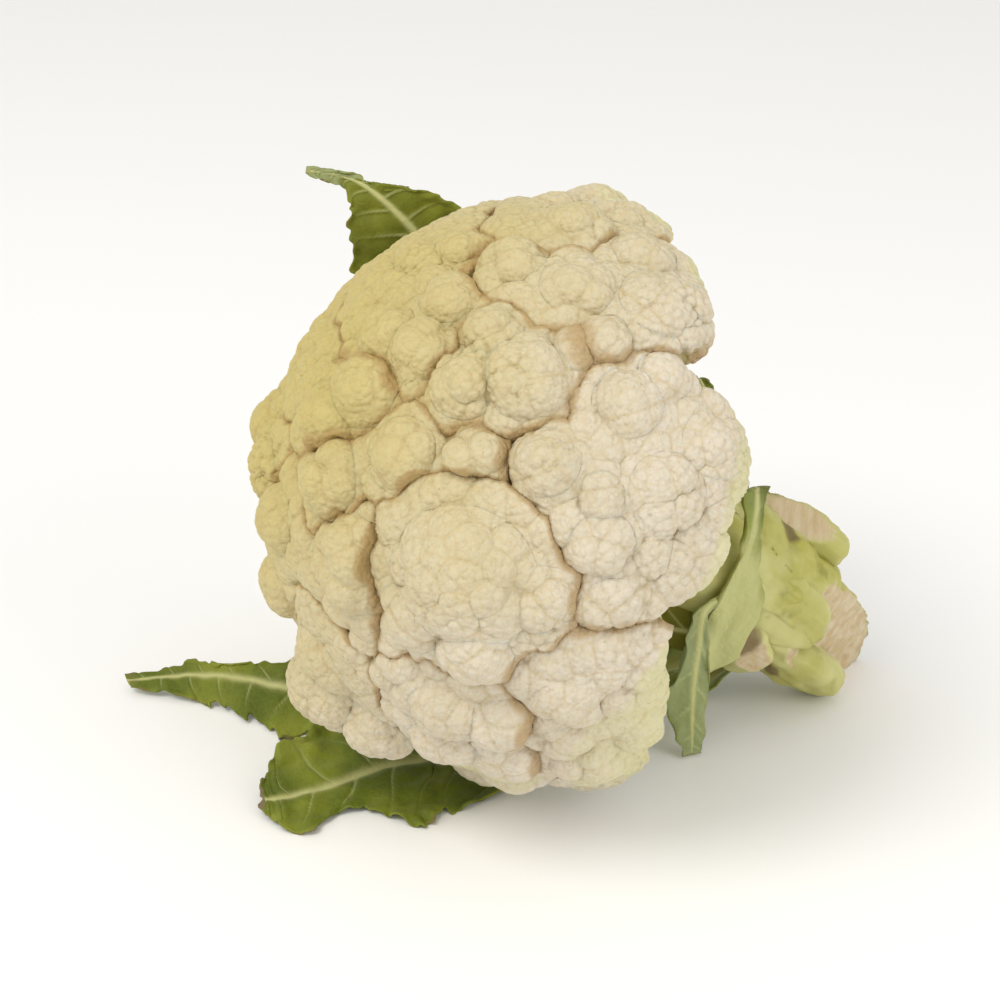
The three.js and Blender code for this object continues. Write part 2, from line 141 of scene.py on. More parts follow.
def ball_net(count, forward, facing=0.8, front=1.4):
    """Directions over a whole ball from a square net, and the triangles between them.

    A square of count x count points becomes a disc by keeping each point's distance from the
    middle along its longer side and spreading its shorter side as an angle. The disc's middle is
    the forward direction and its rim is the opposite pole. The inner share of it, facing, covers
    the cap up to front radians. All rim points are one vertex, so the skin is closed.
    """
    steps = np.linspace(-1, 1, count)
    across, along = np.meshgrid(steps, steps, indexing="ij")
    wide = np.abs(across) >= np.abs(along)
    reach = np.where(wide, across, along)
    other = np.where(wide, along, across)
    bend = np.pi / 4 * other / np.where(reach == 0, 1, reach)
    angle = np.where(wide, bend, np.pi / 2 - bend)
    x, y = reach * np.cos(angle), reach * np.sin(angle)
    rim = np.hypot(x, y)
    turn = np.arctan2(y, x)
    lean = np.interp(rim, [0, facing, 1], [0, front, np.pi])
    sideways = unit(np.cross(forward, [0.13, 0.21, 1.0]))
    upwards = np.cross(forward, sideways)
    rays = (
        np.cos(lean)[..., None] * forward
        + (np.sin(lean) * np.cos(turn))[..., None] * sideways
        + (np.sin(lean) * np.sin(turn))[..., None] * upwards
    )
    inner = np.zeros((count, count), bool)
    inner[1:-1, 1:-1] = True
    index = np.full((count, count), inner.sum())
    index[inner] = np.arange(inner.sum())
    a, b, c, d = index[:-1, :-1], index[1:, :-1], index[1:, 1:], index[:-1, 1:]
    faces = np.concatenate(
        [np.stack([a, b, c], -1).reshape(-1, 3), np.stack([a, c, d], -1).reshape(-1, 3)]
    )
    whole = (faces != np.roll(faces, 1, axis=1)).all(1)
    return np.vstack([rays[inner], -forward]), faces[whole]


def skin_normals(points, faces):
    """The sum of the normals of the faces round each vertex, weighted by area, made unit."""
    a, b, c = (points[faces[:, k]] for k in range(3))
    face_normals = np.cross(b - a, c - a)
    total = np.zeros_like(points)
    for axis in range(3):
        for corner in range(3):
            total[:, axis] += np.bincount(
                faces[:, corner], face_normals[:, axis], minlength=len(points)
            )
    return unit(total)


def neighbour_mean(points, faces):
    """The mean of the corners that follow each vertex round the faces about it."""
    total = np.zeros_like(points)
    for corner in range(3):
        after = points[faces[:, (corner + 1) % 3]]
        for axis in range(3):
            total[:, axis] += np.bincount(faces[:, corner], after[:, axis], minlength=len(points))
    return total / np.bincount(faces.ravel(), minlength=len(points))[:, None]


def ball_exits(rays, start, balls, skirt=2.0):
    """How far from start along each ray it leaves each ball, in lengths of the ray.

    From the ray's nearest approach it goes on by the root of radius^2 - miss^2. A ray that misses
    the ball falls away from it instead, by skirt times the root of what it misses by.
    """
    to = balls[:, :3] - start
    square = (rays**2).sum(1)[:, None]
    along = rays @ to.T / square
    inside = along**2 - ((to**2).sum(1) - balls[:, 3] ** 2) / square
    return along + np.sqrt(np.maximum(inside, 0)) - skirt * np.sqrt(np.maximum(-inside, 0))


def soft_most(values, power):
    """The power mean that tends to the largest value as power grows."""
    top = np.maximum(values, 0.1).max(1, keepdims=True)
    return top[:, 0] * ((np.maximum(values, 0.1) / top) ** power).sum(1) ** (1 / power)


def ripples(points, length, rng, count=10):
    """A smooth field about from -1 to 1: sine waves near one length, summed at random."""
    turns = unit(rng.normal(size=(count, 3))) * (2 * np.pi / length)
    turns *= rng.uniform(0.7, 1.4, (count, 1))
    return np.sin(points @ turns.T + rng.uniform(0, 2 * np.pi, count)).sum(1) / np.sqrt(count)


def scatter(points, spacing, rng):
    """A choice of points that keep at least the spacing apart, as evenly as thrown darts.

    One random point is kept in each small cube. Then, round after round, every point whose draw is
    the lowest of its neighbours' is taken, and its neighbours are dropped.
    """
    order = rng.permutation(len(points))
    cubes = np.floor(points[order] / (spacing * 0.55)).astype(np.int64)
    _, first = np.unique(cubes, axis=0, return_index=True)
    some = points[order][np.sort(first)].astype(np.float32)
    square = (some**2).sum(1)
    near = square[:, None] + square - 2 * some @ some.T < spacing**2
    np.fill_diagonal(near, False)
    draw = rng.permutation(len(some)).astype(np.float32)
    taken = np.zeros(len(some), bool)
    free = np.ones(len(some), bool)
    while free.any():
        rival = np.where(near & free, draw, np.inf).min(1)
        won = free & (draw < rival)
        taken |= won
        free &= ~won & ~near[won].any(0)
    return some[taken]


def mounds(points, centres, radii, chunk=6000):
    """Height of a field of round mounds, and how far each point is from the creases between them.

    A point's mound is the one whose centre is nearest, counted in that mound's radii. Its height is
    the root of 1.15 - distance^2, less what that is at 1, and its crease is the next mound's
    distance less its own.
    """
    centres = centres.astype(np.float32)
    height = np.empty(len(points))
    crease = np.empty(len(points))
    square = (centres**2).sum(1)
    for start in range(0, len(points), chunk):
        some = points[start : start + chunk].astype(np.float32)
        far = (some**2).sum(1)[:, None] + square - 2 * some @ centres.T
        far = np.maximum(far, 0) / radii.astype(np.float32) ** 2
        first = far.argmin(1)
        rows = np.arange(len(far))
        near = np.sqrt(far[rows, first])
        far[rows, first] = np.inf
        height[start : start + chunk] = np.sqrt(1.15 - np.minimum(near, 1) ** 2) - 0.387
        crease[start : start + chunk] = np.sqrt(far.min(1)) - near
    return height, crease


def skin_object(name, points, faces, material, marks):
    """A closed smooth mesh in metres with one float attribute for each mark."""
    mesh = bpy.data.meshes.new(name)
    mesh.vertices.add(len(points))
    mesh.loops.add(faces.size)
    mesh.polygons.add(len(faces))
    mesh.vertices.foreach_set("co", ((points + CURD_MIDDLE) / 1000).astype(np.float32).ravel())
    mesh.loops.foreach_set("vertex_index", faces.astype(np.int32).ravel())
    starts = np.arange(0, faces.size, faces.shape[1], dtype=np.int32)
    mesh.polygons.foreach_set("loop_start", starts)
    mesh.update(calc_edges=True)
    mesh.shade_smooth()
    for mark, values in marks.items():
        layer = mesh.attributes.new(mark, "FLOAT", "POINT")
        layer.data.foreach_set("value", values.astype(np.float32))
    mesh.materials.append(material)
    piece = bpy.data.objects.new(name, mesh)
    bpy.context.scene.collection.objects.link(piece)
    return piece


class Wire:
    """A socket of a material's nodes: arithmetic on it adds Math nodes."""

    def __init__(self, look, socket):
        self.look, self.socket = look, socket

    def maths(self, operation, *inputs):
        values = dict(enumerate(inputs))
        return self.look.add("ShaderNodeMath", {"operation": operation}, values)

    def __add__(self, other):
        return self.maths("ADD", self, other)

    def __mul__(self, other):
        return self.maths("MULTIPLY", self, other)

    def __sub__(self, other):
        return self.maths("SUBTRACT", self, other)

    def __rsub__(self, other):
        return self.maths("SUBTRACT", other, self)

    __radd__ = __add__
    __rmul__ = __mul__

    def ramp(self, low, high):
        """0 up to low, 1 from high, smooth between."""
        settings = {"interpolation_type": "SMOOTHSTEP"}
        values = {"Value": self, "From Min": low, "From Max": high}
        return self.look.add("ShaderNodeMapRange", settings, values)


class Look:
    """A material built from nodes, whose constants sit on the shader's own sockets."""

    def __init__(self, name, **constants):
        self.material = bpy.data.materials.new(name)
        self.material.use_nodes = True
        self.nodes = self.material.node_tree.nodes
        self.links = self.material.node_tree.links
        self.shader = self.nodes["Principled BSDF"]
        for socket, value in constants.items():
            self.shader.inputs[socket.replace("_", " ")].default_value = value
        self.place = self.add("ShaderNodeTexCoord", {}, {}, "Object")

    def add(self, kind, settings, values, output=0):
        """One node: its settings are set first, then its sockets are given values or links."""
        node = self.nodes.new(kind)
        for key, value in settings.items():
            setattr(node, key, value)
        for socket, value in values.items():
            if isinstance(value, Wire):
                self.links.new(value.socket, node.inputs[socket])
            else:
                node.inputs[socket].default_value = value
        return Wire(self, node.outputs[output])

    def mark(self, name):
        return self.add("ShaderNodeAttribute", {"attribute_name": name}, {}, "Fac")

    def noise(self, scale, detail=3.0, roughness=0.5, place=None):
        values = {"Vector": place or self.place, "Scale": scale, "Detail": detail}
        return self.add("ShaderNodeTexNoise", {}, {**values, "Roughness": roughness})

    def cells(self, scale, feature="F1"):
        values = {"Vector": self.place, "Scale": scale}
        return self.add("ShaderNodeTexVoronoi", {"feature": feature}, values, "Distance")

    def mix(self, share, first, second):
        """The first colour where share is 0 and the second where it is 1."""
        colours = [c if isinstance(c, Wire) else (*c, 1.0) for c in (first, second)]
        settings = {"data_type": "RGBA"}
        return self.add("ShaderNodeMix", settings, {0: share, 6: colours[0], 7: colours[1]}, 2)

    def height(self, fall, distance, strength=1.0):
        """A bump of the given height in metres, on top of any bump made before it."""
        values = {"Height": fall, "Distance": distance, "Strength": strength}
        if self.shader.inputs["Normal"].is_linked:
            values["Normal"] = Wire(self, self.shader.inputs["Normal"].links[0].from_socket)
        bump = self.add("ShaderNodeBump", {}, values)
        self.links.new(bump.socket, self.shader.inputs["Normal"])

    def to(self, socket, wire):
        self.links.new(wire.socket, self.shader.inputs[socket])


CREAM = (0.62, 0.56, 0.44)
PALE_CREAM = (0.68, 0.62, 0.52)
BUTTER = (0.53, 0.44, 0.135)
TAN = (0.50, 0.37, 0.15)
# Rust brown: painted shade deep in the gaps between florets, and the colour of the real brown
# specks.
SHADE_AND_SPECK_RUST = (0.38, 0.23, 0.075)
BRANCH_GREEN = (0.62, 0.60, 0.30)

curd = Look("curd", Subsurface_Weight=0.2, Subsurface_Scale=0.003, Specular_IOR_Level=0.35)
curd.shader.inputs["Subsurface Radius"].default_value = (1.0, 0.55, 0.25)
sides = curd.add("ShaderNodeSeparateXYZ", {}, {"Vector": curd.place}, "X")
upright = Wire(curd, sides.socket.node.outputs["Z"])
sunward = (upright * 6.0 - sides * 10.0 + curd.noise(14.0, 2.0) * 0.9).ramp(0.7, 1.95)
tint = curd.mix(curd.noise(45.0, 4.0).ramp(0.35, 0.7), CREAM, PALE_CREAM)
tint = curd.mix(sunward * 0.9, tint, BUTTER)
# Tan near the creases between lobes and buds: partly the curd's own colour there, partly painted
# shade.
crease = curd.mark("crease")
tint = curd.mix(crease.ramp(0.1, 1.0) * 0.36, tint, TAN)
# Rust brown deep below the dome and along the seams between florets: painted shade.
deep_shade = curd.mark("deep_shade")
tint = curd.mix(deep_shade.ramp(0.2, 1.0) * 0.7, tint, SHADE_AND_SPECK_RUST)
# Thin tan lines round the finest beads: partly their colour, partly painted shade in the creases
# between them.
bead_lines = curd.cells(560.0, "DISTANCE_TO_EDGE")
tint = curd.mix((1.0 - bead_lines.ramp(0.0, 0.15)) * 0.09, tint, TAN)
specks = curd.cells(420.0)
grain = curd.noise(310.0, 4.0, 0.7).ramp(0.46, 0.66)
tint = curd.mix(grain * 0.22, tint, TAN)
speckled = (1.0 - specks.ramp(0.05, 0.16)) * curd.noise(30.0, 2.0).ramp(0.5, 0.62)
tint = curd.mix(speckled * 0.5, tint, SHADE_AND_SPECK_RUST)
tint = curd.mix(1.0 - curd.mark("curd"), tint, BRANCH_GREEN)
curd.to("Base Color", tint)
curd.to("Roughness", curd.noise(300.0, 2.0) * 0.2 + 0.55)
curd.height(1.0 - curd.cells(620.0).ramp(0.0, 0.85), 0.0008, 0.5)
curd.height(curd.noise(480.0, 4.0, 0.65), 0.0010, 0.45)
curd.height(curd.noise(2600.0, 2.0), 0.0001, 0.4)

heads = {name: np.array(floret, float) for name, floret in FLORETS.items()}
seen = {}
for name, floret in heads.items():
    from_fork = floret[:, :3] - FORK
    reach = np.linalg.norm(from_fork, axis=1)
    wide = floret[:, 3] / reach
    seen[name] = from_fork / (reach * np.sqrt(1 - wide**2))[:, None]


waver_rng = np.random.default_rng(4)
waver_turns = unit(waver_rng.normal(size=(9, 3))).T * 2 * np.pi / WAVER_LENGTH
waver_turns *= waver_rng.uniform(0.6, 1.8, 9)
waver_starts = waver_rng.uniform(0, 2 * np.pi, 9)
waver_shifts = unit(waver_rng.normal(size=(9, 3))) * WAVER_HEIGHT / 3


def lead(points, name, air=1.0):
    """How far inside its own cell a point is: its own heads' best score less the others' best.

    A head's score is the point's distance along the line to that head, divided by the cosine of
    the angle that the head spreads over, so two heads draw level on the plane of their crossing.
    The air beside the dome scores too, by a share of the distance from the fork. The points are
    first shifted by slow waves, so the seams waver.
    """
    from_fork = points + np.sin(points @ waver_turns + waver_starts) @ waver_shifts - FORK
    rest = np.vstack([others for other, others in seen.items() if other != name])
    rival = np.maximum((from_fork @ rest.T).max(1), 0)
    away = np.linalg.norm(from_fork, axis=1)
    loose = smoothstep(*SKY_RISE, from_fork @ CROWN / away)
    sky = (SKY_CLOSE + (SKY_LOOSE - SKY_CLOSE) * loose) * away * air
    return (from_fork @ seen[name].T).max(1) - np.maximum(rival, sky)


def held(inside, outside, name):
    """The furthest place from inside to outside that is still in the cell, found by halving."""
    crossed = np.flatnonzero(lead(outside, name) < SEAM_GAP)
    start, step = inside[crossed], outside[crossed] - inside[crossed]
    low, high = np.zeros((len(crossed), 1)), np.ones((len(crossed), 1))
    for _ in range(10):
        middle = (low + high) / 2
        kept = (lead(start + step * middle, name) >= SEAM_GAP)[:, None]
        low, high = np.where(kept, middle, low), np.where(kept, high, middle)
    points = outside.copy()
    points[crossed] = start + step * low
    return points


def floret_points(name, floret, count, rng):
    """The skin of one floret.

    Along each ray from its heart it is the furthest of its heads, and of a wedge of the dome that
    narrows to a branch behind. It stops at the floret's cell and at the leaf under the head. Then
    lobes, and buds on the lobes, rise along the normals.
    """
    middle = floret[:, :3].mean(0)
    outward = unit(middle - FORK)
    length = np.linalg.norm(middle - FORK)
    heart = FORK + outward * length * HEART
    from_fork = length * HEART
    aside = floret[:, :3] - heart
    lean = np.arccos(np.clip(unit(aside) @ outward, -1, 1))
    lean += np.arcsin(np.clip(floret[:, 3] / np.linalg.norm(aside, axis=1), 0, 1)) * 0.8
    rays, faces = ball_net(count, outward, 0.86, np.clip(lean.max(), 0.9, 1.35))
    rise = rays @ outward
    across = np.sqrt(np.maximum(1 - rise**2, 1e-6))
    sideways = (rays - rise[:, None] * outward) / across[:, None]
    head_far = floret[:, :3] - FORK
    lean = np.arctan2(sideways @ head_far.T, head_far @ outward)
    spread = (lean + np.arcsin(floret[:, 3] / np.linalg.norm(head_far, axis=1))).max(1)
    flare = np.tan(np.clip(spread + FLARE.get(name, EXTRA_FLARE) * (rise > 0), 0.1, 1.1) * 0.93)
    closing = across - rise * flare
    dome = ball_exits(rays, heart, np.array([[0, 0, 0, CURD_RADIUS - SEAM_DEPTH]]))[:, 0]
    wedge = np.where(closing > 1e-3, from_fork * flare / np.maximum(closing, 1e-3), dome)
    body = np.minimum(wedge, dome)
    stop = from_fork - BRANCH_STOP
    taper = (BRANCH_THICK - BRANCH_THIN) / stop
    branch = np.minimum(
        BRANCH_THICK / (across - taper * rise), stop / np.maximum(-rise, 1e-6)
    )
    body = np.where(rise < 0, body + (branch - body) * smoothstep(0, 0.85, -rise), body)
    balls = floret - np.array([0, 0, 0, SUNK])
    crust = soft_most(ball_exits(rays, heart, balls), 70)
    far = np.maximum(body, crust)
    domed = smoothstep(-4.0, 0.0, body - dome)
    curdy = np.maximum(smoothstep(-3.0, 1.5, crust - body), domed)
    floor = (LEAF_BED - CURD_RADIUS - heart[2]) / np.minimum(rays[:, 2], -1e-6)
    far = np.where(rays[:, 2] < 0, np.minimum(far, floor), far)
    start = np.broadcast_to(heart, rays.shape)
    points = held(start, heart + rays * far[:, None], name)
    near_seam = np.clip(1 - (lead(points, name) - SEAM_GAP) / CELL_SLOPE / EDGE_ROUND, 0, 1)
    drop = EDGE_DROP * (1 - np.sqrt(1 - 0.97 * near_seam**2))
    points = points - unit(points - FORK) * (drop * (rise > -0.2))[:, None]

    for step in range(SMOOTHINGS):
        pull = PULL * (1 - curdy * (step >= EVEN_SMOOTHINGS))[:, None]
        points = points + (neighbour_mean(points, faces) - points) * pull

    shades = []
    knobbly = 0.75 + 0.45 * ripples(points, 38.0, rng)
    for spacing, height in ((LOBE_SPACING, LOBE_RISE), (BUD_SPACING, BUD_RISE * knobbly)):
        normals = skin_normals(points, faces)
        centres = scatter(points[curdy > 0.5], spacing, rng)
        radii = spacing * rng.uniform(0.8, 1.25, len(centres))
        risen, crease = mounds(points, centres, radii)
        points = held(points, points + normals * (height * risen * curdy)[:, None], name)
        shades.append(1 - smoothstep(0.0, 1.3 / spacing, crease))
    shade = np.maximum(shades[0], shades[1] * 0.6)
    points[:, 2] = np.maximum(points[:, 2], LEAF_BED - CURD_RADIUS)
    depth = CURD_RADIUS + 1.0 - np.linalg.norm(points, axis=1)
    to_edge, to_seam = lead(points, name), lead(points, name, 0.0)
    flank = smoothstep(2.6, 0.3, to_edge) * smoothstep(0.2, 1.2, to_seam - to_edge)
    marks = {
        # the next mark is tan at the creases, partly the curd's colour and partly painted shade
        "crease": shade * curdy,
        # the next mark is painted shade, deep below the dome and near the seams between florets
        "deep_shade": np.maximum(
            smoothstep(4.0, 12.0, depth), smoothstep(0.5, 0.0, to_seam) * 0.9
        ) * (1 - flank),
        "curd": curdy * (1 - 0.6 * flank),
    }
    return points, faces, marks


curd_rng = np.random.default_rng(20)
for name, floret in heads.items():
    count = COARSE_NET if name in HIDDEN else FINE_NET
    points, faces, marks = floret_points(name, floret, count, curd_rng)
    piece = skin_object("curd_" + name, points, faces, curd.material, marks)
    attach(piece, "root")
    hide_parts("floret_" + name)

# ---------------------------------------------------------------- stalk
# One thick fleshy stem. Its top is round under the curd, and the other end was cut across with a
# knife, slantwise, which left a pale fibrous face.

CUT_END = np.array([90.0, 41.0, -71.5])
CUT_FACE = unit(np.array([0.76, -0.62, -0.18]))
stalk_line = unit(CUT_END - FORK)
stalk_top = unit(np.array([0.0, 0.0, 1.0]) - stalk_line[2] * stalk_line)
stalk_front = np.cross(stalk_line, stalk_top)


def on_stalk(back, turn, out):
    """A place near the stalk: back from its cut end, turned from its top to its front, and out."""
    angle = np.radians(turn)
    around = np.cos(angle) * stalk_top + np.sin(angle) * stalk_front
    return CUT_END - stalk_line * back + around * out


def fused_body(start, forward, balls, cuts, count, flat=None, power=10, rough=0.5, seed=1):
    """A fleshy body: the soft union of balls seen from start, cut off flat by planes.

    flat is a direction and a factor that every ball is squashed by along it. Returns the points,
    the faces, and how much of a cut face each point is on.
    """
    rays, faces = ball_net(count, unit(np.asarray(forward, float)), 0.7, 1.7)
    stretch = np.eye(3)
    if flat is not None:
        stretch += np.outer(unit(flat[0]), unit(flat[0])) * (1 / flat[1] - 1)
    balls = np.asarray(balls, float)
    seen_balls = np.hstack([balls[:, :3] @ stretch, balls[:, 3:]])
    far = soft_most(ball_exits(rays @ stretch, start @ stretch, seen_balls, 1.0), power)
    rng = np.random.default_rng(seed)
    points = start + rays * far[:, None]
    far += rough * (ripples(points, 14, rng) + 0.5 * ripples(points, 6, rng))
    crosswise = points - np.outer(points @ stalk_line, stalk_line) * 0.85
    far += rough * 0.8 * ripples(crosswise, 5, rng)
    cut_mark = np.zeros(len(far))
    for place, normal in cuts:
        closing = rays @ normal
        limit = np.where(closing > 1e-6, (place - start) @ normal / np.maximum(closing, 1e-6), 1e9)
        cut_mark = np.maximum(cut_mark, smoothstep(-0.4, 0.4, far - limit))
        far = np.minimum(far, limit)
    return start + rays * far[:, None], faces, cut_mark


FLESH_GREEN = (0.40, 0.38, 0.075)
FLESH_PALE = (0.55, 0.53, 0.22)
FLESH_DARK = (0.22, 0.20, 0.035)
CUT_TAN = (0.51, 0.38, 0.20)
CUT_PALE = (0.63, 0.54, 0.37)
# Dark brown of bruises, leaf scars and stains, also used as painted shade in hollows under and
# beside the stumps.
BRUISE_AND_HOLLOW_SHADE = (0.16, 0.11, 0.04)

flesh = Look("stalk", Roughness=0.5, Subsurface_Weight=0.15, Subsurface_Scale=0.004, IOR=1.4)
flesh.shader.inputs["Subsurface Radius"].default_value = (0.8, 1.0, 0.3)
along = flesh.add("ShaderNodeVectorMath", {"operation": "DOT_PRODUCT"},
                  {0: flesh.place, 1: tuple(stalk_line)}, "Value")
around = flesh.add("ShaderNodeVectorMath", {"operation": "DOT_PRODUCT"},
                   {0: flesh.place, 1: tuple(stalk_top)}, "Value")
outward = flesh.add("ShaderNodeVectorMath", {"operation": "DOT_PRODUCT"},
                    {0: flesh.place, 1: tuple(stalk_front)}, "Value")
fibre_place = flesh.add("ShaderNodeCombineXYZ", {}, {0: along * 0.12, 1: around, 2: outward})
fibres = flesh.noise(420.0, 4.0, 0.6, fibre_place)
tint = flesh.mix(flesh.noise(60.0, 3.0).ramp(0.35, 0.68), FLESH_GREEN, FLESH_PALE)
tint = flesh.mix(fibres.ramp(0.5, 0.8) * 0.5, tint, FLESH_PALE)
tint = flesh.mix(flesh.noise(110.0, 3.0).ramp(0.58, 0.75) * 0.6, tint, FLESH_DARK)
tint = flesh.mix(flesh.mark("pale"), tint, FLESH_PALE)
grain_place = flesh.add("ShaderNodeCombineXYZ", {},
                        {0: along, 1: (around - outward) * 0.12, 2: around + outward})
grain = flesh.noise(300.0, 4.0, 0.6, grain_place)
cut_tint = flesh.mix(grain.ramp(0.3, 0.75), CUT_TAN, CUT_PALE)
tint = flesh.mix(flesh.mark("cut"), tint, cut_tint)
# Dark brown spots: real bruises, scars and stains, and painted shade in the hollow under the top
# stump and beside the patch on stump_under.
bruised = (flesh.mark("bruise") + (flesh.noise(180.0, 4.0) - 0.5) * 0.5).ramp(0.4, 0.75)
tint = flesh.mix(bruised * 0.85, tint, BRUISE_AND_HOLLOW_SHADE)
flesh.to("Base Color", tint)
flesh.to("Roughness", flesh.noise(120.0) * 0.25 + 0.4)
flesh.height(fibres, 0.0008, 0.5)
flesh.height(flesh.noise(700.0, 3.0), 0.0002, 0.5)


def flesh_piece(name, node, points, faces, **marks):
    """A body of stalk flesh that stands for a CAD node. Unmentioned marks are nought."""
    whole = {mark: np.zeros(len(points)) for mark in ("cut", "pale", "bruise")}
    points = np.column_stack([points[:, :2], np.maximum(points[:, 2], -CURD_RADIUS)])
    piece = skin_object(name, points, faces, flesh.material, {**whole, **marks})
    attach(piece, "root")
    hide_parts(node)
    return piece


stalk_length = np.linalg.norm(CUT_END - FORK)
backs = np.linspace(-14, stalk_length, 22)
swell = 14.0 + 3.6 * smoothstep(0, 34, backs)
stalk_balls = [(*on_stalk(back, 0, 0), radius) for back, radius in zip(backs, swell)]
stalk_balls += [(*on_stalk(*place), 12.5) for place in
                ((24, 95, 7), (40, 60, 7), (52, 5, 12), (38, 4, 11), (26, 4, 9))]
end_cuts = [(on_stalk(0.5, 0, 0), CUT_FACE)]
points, faces, cut_face = fused_body(
    on_stalk(22, 0, 0), CUT_FACE, stalk_balls, end_cuts, 200, power=16, rough=0.6, seed=3
)
torn = ripples(points * [1, 1, 2], 7, np.random.default_rng(8)) * 0.35
points = points + CUT_FACE * (cut_face * torn)[:, None]
# Dark leaf scars on the stalk; the spot at (45, 16, 23) is painted shade in the hollow under the
# top stump.
scars_and_hollow_shade = sum(
    np.exp(-(np.linalg.norm(points - on_stalk(*spot), axis=1) / size) ** 2)
    for spot, size in (((17, 50, 17), 7.0), ((11, 62, 15), 5.0), ((45, 16, 23), 5.0))
)
flesh_piece("stalk_flesh", "stalk", points, faces, cut=cut_face, bruise=scars_and_hollow_shade * (1 - cut_face))

# ---------------------------------------------------------------- leaf stumps
# Thick fleshy leaf stalks that grow out of the stem, cut short by the same knife. Their cut faces
# are pale, and dry to pink and brown.

STUMPS = {  # start and end on the stalk, half width, half thickness, cuts: place, normal; dark spot: place and size of a stain, which on stump_under also paints the shade of a hollow
    "stump_top": ((62, 1, 27.5), (20, 0, 23.5), 6.4, 6.4,
                  [((40, 0, 27.4), (0.34, -0.57, 0.67))], ((40, 14, 29), 3.5)),
    "stump_front": ((46, 86, 15), (20, 80, 14.5), 10.0, 3.6, [], ((50, 110, 20), 4)),
    "stump_low": ((26, 160, 13), (-4, 160, 12), 10.5, 7.0, [], ((22, 150, 20), 4)),
    "stump_under": ((58, 136, 18), (30, 142, 20), 10.0, 6.5,
                    [((44, 118, 23.5), (0.20, -0.93, -0.30))], ((45, 120, 24), 8)),
    "stump_back": ((46, 300, 17), (14, 292, 20), 11.0, 5.0, [], ((14, 290, 22), 6)),
    "stump_back_low": ((38, 238, 17), (10, 234, 19), 10.0, 5.0, [], ((10, 230, 22), 6)),
}
for seed, (name, (foot, tip, wide, thick, cuts, (spot, size))) in enumerate(STUMPS.items()):
    foot_place, tip_place = on_stalk(*foot), on_stalk(*tip)
    line = unit(tip_place - foot_place)
    outward = on_stalk(0, (foot[1] + tip[1]) / 2, 1) - CUT_END
    outward = unit(outward - line * (outward @ line))
    shares = np.linspace(0, 1, 9)[:, None]
    inset = wide * 0.8 * line
    chain = foot_place + inset + (tip_place - foot_place - 2 * inset) * shares
    balls = np.column_stack([chain, np.full(9, wide) * np.linspace(1.0, 0.9, 9)])
    planes = [(on_stalk(*place), unit(np.array(normal))) for place, normal in cuts]
    points, faces, cut_face = fused_body(
        (foot_place + tip_place) / 2, outward, balls, planes, 90,
        flat=(outward, thick / wide), seed=40 + seed,
    )
    # A dark stain on each stump; on stump_under it also paints shade in the hollow beside its
    # grey-brown patch.
    stains_and_hollow_shade = np.exp(-(np.linalg.norm(points - on_stalk(*spot), axis=1) / size) ** 2)
    pale = np.full(len(points), 0.3)
    flesh_piece("cut_" + name, name, points, faces, cut=cut_face, bruise=stains_and_hollow_shade, pale=pale)

# ---------------------------------------------------------------- leaves
# Thin waxy blades on a thick pale midrib, with side veins that branch off it. The blade puffs up
# between the veins, and its margin is wavy, torn and a little dry.

